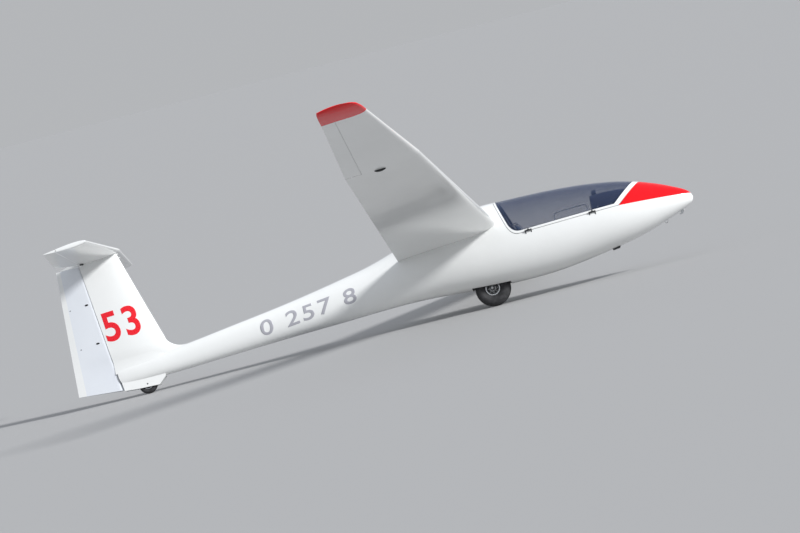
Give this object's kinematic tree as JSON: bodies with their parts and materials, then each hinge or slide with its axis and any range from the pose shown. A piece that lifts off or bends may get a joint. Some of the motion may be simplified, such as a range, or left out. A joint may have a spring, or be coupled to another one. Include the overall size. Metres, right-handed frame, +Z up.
{
  "type": "single-seat T-tail sailplane",
  "caption": "Single-seat sailplane, parked on its main wheel, tail wheel and one wing tip, with hinged canopy, rudder, elevator, ailerons and airbrakes.",
  "frame": {"origin": "on the floor, under the middle of the parked sailplane's bounding box", "axes": "+X towards the nose, +Y to port, +Z up from the floor. The airframe is banked about 9 degrees to port, as it rests on its port wing tip"},
  "size_m": [6.6658, 14.81, 2.4634],
  "materials": {
    "white_gelcoat": "white gelcoat, polished",
    "red_paint": "gloss red paint",
    "canopy_acrylic": "clear acrylic with a faint blue tint",
    "tyre_rubber": "matt black rubber",
    "wheel_alloy": "turned alloy",
    "steel_parts": "satin steel",
    "dark_paint": "black crackle paint",
    "cockpit_lining": "grey speckled lining paint",
    "blue_plastic": "blue handle",
    "green_plastic": "green handle",
    "yellow_plastic": "yellow knob",
    "cushion_cloth": "dark blue woven cloth"
  },
  "bodies": {
    "airframe": {"cockpit_shell": "white_gelcoat", "centre_fuselage": "white_gelcoat", "tail_boom": "white_gelcoat", "rear_bulkhead": "cockpit_lining", "fin": "white_gelcoat", "stabilizer": "white_gelcoat", "tail_wheel_fairing": "white_gelcoat", "wing_left": "white_gelcoat", "wing_tip_left": "red_paint", "crank_fairing_left": "dark_paint", "wing_right": "white_gelcoat", "wing_tip_right": "red_paint", "crank_fairing_right": "dark_paint", "main_axle": "steel_parts", "main_fork": "steel_parts", "tail_axle": "steel_parts", "hinge_base_rear": "dark_paint", "hinge_base_front": "dark_paint", "seat_pan": "cockpit_lining", "seat_cushion": "cushion_cloth", "back_cushion": "cushion_cloth", "headrest": "cushion_cloth", "glare_shield": "dark_paint", "instrument_panel": "dark_paint", "panel_pedestal": "dark_paint", "release_knob": "yellow_plastic", "control_stick": "dark_paint", "stick_gaiter": "dark_paint", "pedal_rail": "steel_parts", "rudder_pedal_left": "steel_parts", "side_console_left": "cockpit_lining", "rudder_pedal_right": "steel_parts", "side_console_right": "cockpit_lining", "airbrake_lever": "blue_plastic", "trim_lever": "green_plastic", "nose_hook": "steel_parts", "belly_hook": "dark_paint"},
    "main_wheel": {"main_tyre": "tyre_rubber", "main_rim": "wheel_alloy"},
    "tail_wheel": {"tail_tyre": "tyre_rubber", "tail_rim": "wheel_alloy"},
    "rudder": {"rudder": "white_gelcoat"},
    "elevator": {"elevator": "white_gelcoat"},
    "aileron_left": {"aileron_left": "white_gelcoat"},
    "aileron_right": {"aileron_right": "white_gelcoat"},
    "airbrake_left": {"airbrake_left": "white_gelcoat"},
    "airbrake_right": {"airbrake_right": "white_gelcoat"},
    "canopy": {"canopy_frame": "white_gelcoat", "canopy_glass": "canopy_acrylic", "sliding_window": "canopy_acrylic", "canopy_latch": "red_paint", "hinge_knuckle_rear": "dark_paint", "hinge_knuckle_front": "dark_paint"}
  },
  "joints": [
    {"name": "main_wheel_spin", "type": "hinge", "parent": "airframe", "child": "main_wheel", "pos_m": [1.11895, -0.17128, 0.18276], "axis": [0, 0.9868, -0.1616], "continuous": true},
    {"name": "tail_wheel_spin", "type": "hinge", "parent": "airframe", "child": "tail_wheel", "pos_m": [-2.59504, -0.18505, 0.09868], "axis": [0, 0.9868, -0.1616], "continuous": true},
    {"name": "canopy_hinge", "type": "hinge", "parent": "airframe", "child": "canopy", "pos_m": [1.63893, -0.42125, 0.68581], "axis": [0.9989, 0.036, 0.0285], "range_deg": [0, 95]},
    {"name": "rudder_hinge", "type": "hinge", "parent": "airframe", "child": "rudder", "pos_m": [-2.89205, -0.1739, 0.16676], "axis": [-0.114, 0.1606, 0.9804], "range_deg": [-30, 30]},
    {"name": "elevator_hinge", "type": "hinge", "parent": "airframe", "child": "elevator", "pos_m": [-3.02112, 0.04166, 1.48279], "axis": [0, 0.9868, -0.1616], "range_deg": [-20, 25]},
    {"name": "aileron_left_hinge", "type": "hinge", "parent": "airframe", "child": "aileron_left", "pos_m": [0.61391, 4.55824, 0.26207], "axis": [0.0672, 0.994, -0.0865], "range_deg": [-20, 20]},
    {"name": "aileron_right_hinge", "type": "hinge", "parent": "airframe", "child": "aileron_right", "pos_m": [0.61391, -4.62836, 1.76676], "axis": [-0.0672, 0.9696, -0.2351], "range_deg": [-20, 20]},
    {"name": "airbrake_left_slide", "type": "slide", "parent": "airframe", "child": "airbrake_left", "axis": [-0.0001, 0.0994, 0.9951], "range_m": [0, 0.08]},
    {"name": "airbrake_right_slide", "type": "slide", "parent": "airframe", "child": "airbrake_right", "axis": [-0.0001, 0.2233, 0.9748], "range_m": [0, 0.08]}
  ],
  "couplings": [
    {"joint": "aileron_right_hinge", "follows": "aileron_left_hinge", "ratio": -1},
    {"joint": "airbrake_right_slide", "follows": "airbrake_left_slide", "ratio": 1}
  ]
}
